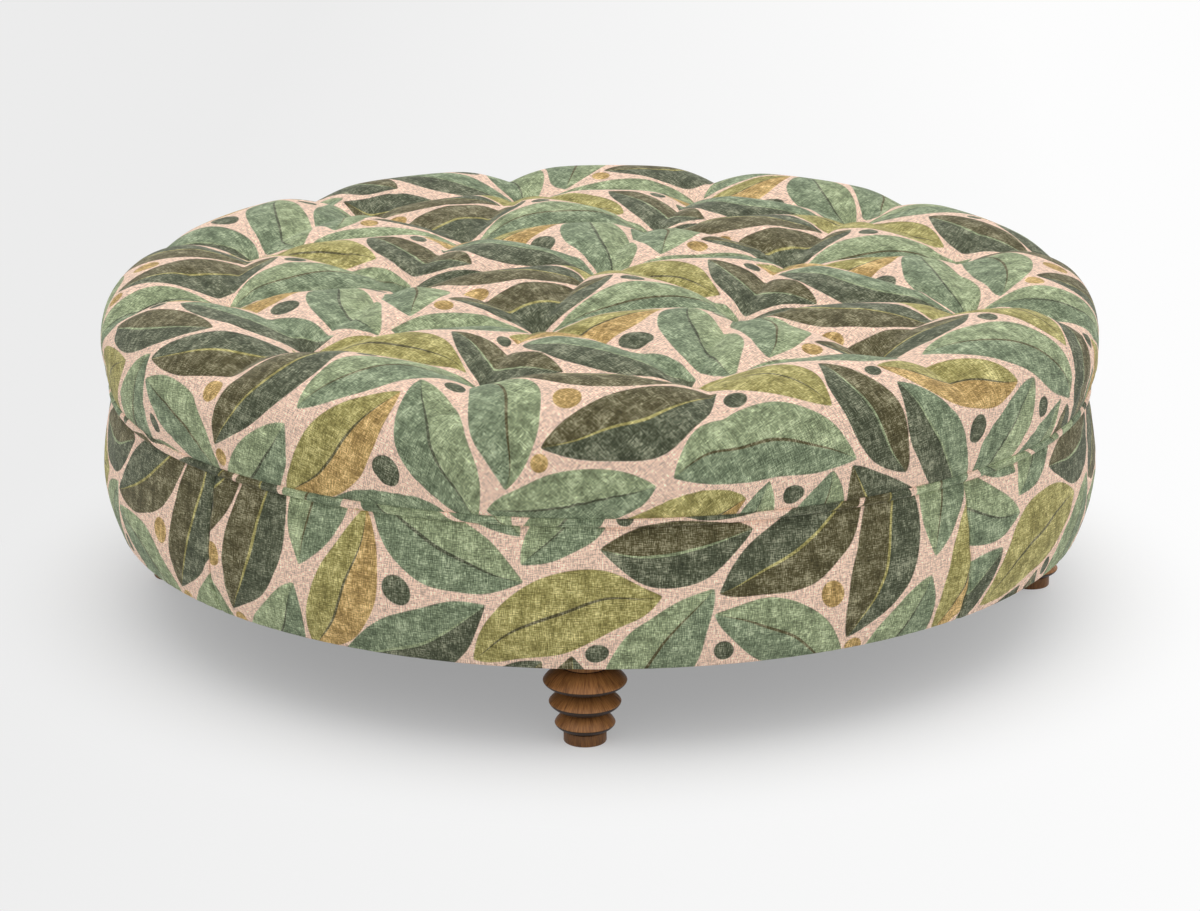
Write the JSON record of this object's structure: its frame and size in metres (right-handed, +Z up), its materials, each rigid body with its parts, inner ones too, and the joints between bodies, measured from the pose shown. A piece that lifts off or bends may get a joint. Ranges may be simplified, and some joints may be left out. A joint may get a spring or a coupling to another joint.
{
  "type": "tuffet",
  "caption": "Round upholstered footstool with a blind-tufted crowned seat cushion, a welted swelling fabric side band and short turned beehive legs",
  "frame": {"origin": "On the floor plane, under the centre of the round seat.", "axes": "+Z up. The stool is round; one leg stands towards -Y, the viewer's side, and the other three follow at quarter turns."},
  "size_m": [1.222, 1.222, 0.4247],
  "materials": {
    "cover_cloth": "matte printed linen-look upholstery cloth",
    "band_cloth": "matte printed linen-look upholstery cloth",
    "welt_cloth": "matte printed cloth over cord",
    "wadding": "white polyester wadding",
    "foam": "cream polyurethane foam",
    "dust_cloth": "black non-woven dust cloth",
    "twine": "waxed tufting twine and fibre washer",
    "plywood": "unfinished plywood",
    "hardboard": "bent hardboard",
    "softwood": "sawn softwood",
    "turned_leg": "satin warm brown stained turned hardwood",
    "zinc_steel": "zinc plated steel"
  },
  "bodies": {
    "root": {"band_padding": "wadding", "band_panel_back": "band_cloth", "band_panel_front": "band_cloth", "band_panel_left": "band_cloth", "band_panel_right": "band_cloth", "base_board": "plywood", "deck_board": "plywood", "dust_cloth": "dust_cloth", "hanger_bolt_back": "zinc_steel", "hanger_bolt_front": "zinc_steel", "hanger_bolt_left": "zinc_steel", "hanger_bolt_right": "zinc_steel", "leg_back": "turned_leg", "leg_block_back": "softwood", "leg_block_front": "softwood", "leg_block_left": "softwood", "leg_block_right": "softwood", "leg_front": "turned_leg", "leg_left": "turned_leg", "leg_right": "turned_leg", "seat_cover": "cover_cloth", "seat_foam": "foam", "seat_wadding": "wadding", "seat_welt": "welt_cloth", "side_hoop": "hardboard", "tee_nut_back": "zinc_steel", "tee_nut_front": "zinc_steel", "tee_nut_left": "zinc_steel", "tee_nut_right": "zinc_steel", "tuft_tie_centre": "twine", "tuft_tie_inner_1": "twine", "tuft_tie_inner_2": "twine", "tuft_tie_inner_3": "twine", "tuft_tie_inner_4": "twine", "tuft_tie_inner_5": "twine", "tuft_tie_inner_6": "twine", "tuft_tie_outer_1": "twine", "tuft_tie_outer_10": "twine", "tuft_tie_outer_11": "twine", "tuft_tie_outer_12": "twine", "tuft_tie_outer_2": "twine", "tuft_tie_outer_3": "twine", "tuft_tie_outer_4": "twine", "tuft_tie_outer_5": "twine", "tuft_tie_outer_6": "twine", "tuft_tie_outer_7": "twine", "tuft_tie_outer_8": "twine", "tuft_tie_outer_9": "twine", "upright_1": "softwood", "upright_2": "softwood", "upright_3": "softwood", "upright_4": "softwood", "upright_5": "softwood", "upright_6": "softwood", "upright_7": "softwood", "upright_8": "softwood"}
  },
  "joints": []
}
